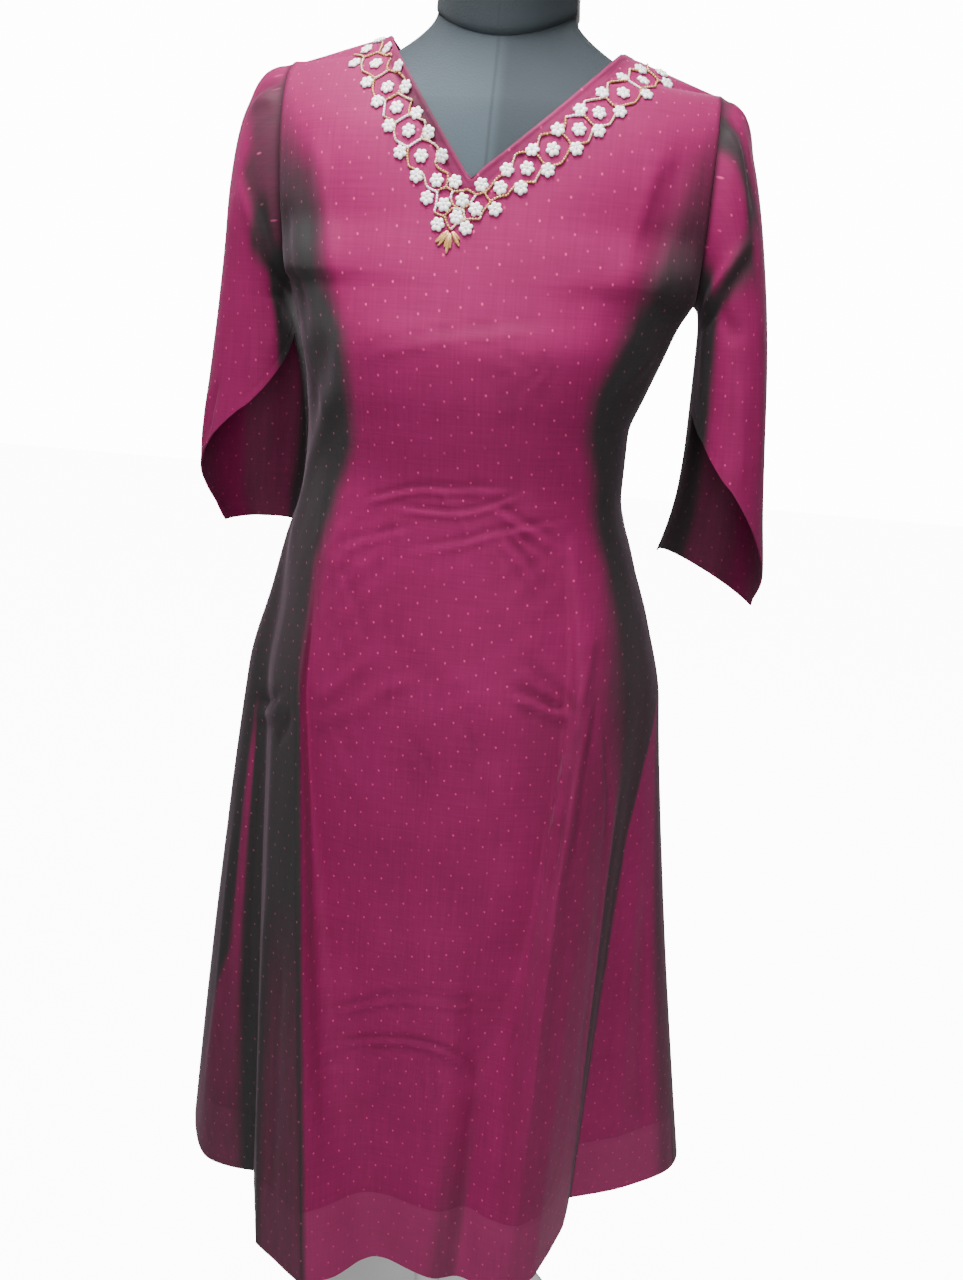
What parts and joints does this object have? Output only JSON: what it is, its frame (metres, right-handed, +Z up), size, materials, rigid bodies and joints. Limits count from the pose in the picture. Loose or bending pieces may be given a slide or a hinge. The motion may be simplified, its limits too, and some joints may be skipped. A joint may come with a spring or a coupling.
{
  "type": "kurta tunic on dress form",
  "caption": "Long A-line V-neck kurta tunic with petal sleeves and a bead flower border, hanging in folds on a limbless dress form with pole and round base.",
  "frame": {"origin": "centre of the stand base's underside, on the floor", "axes": "+Z up along the pole, the front of the garment faces -Y, +X is the right of the garment seen from the front"},
  "size_m": [0.57, 0.38, 1.536],
  "materials": {
    "silk": "shot silk, magenta with a charcoal green weft, soft sheen",
    "form_cloth": "matt slate cloth",
    "neck_cap": "matt near black",
    "stand_metal": "satin white paint",
    "bead_white": "glossy white flower beads",
    "bead_gold": "pale gold lined tube beads"
  },
  "bodies": {
    "root": {"kurta_front": "silk", "kurta_back": "silk", "sleeve_right_view": "silk", "sleeve_left_view": "silk", "form_torso": "form_cloth", "neck_stub": "neck_cap", "pole": "stand_metal", "base": "stand_metal"}
  },
  "joints": []
}
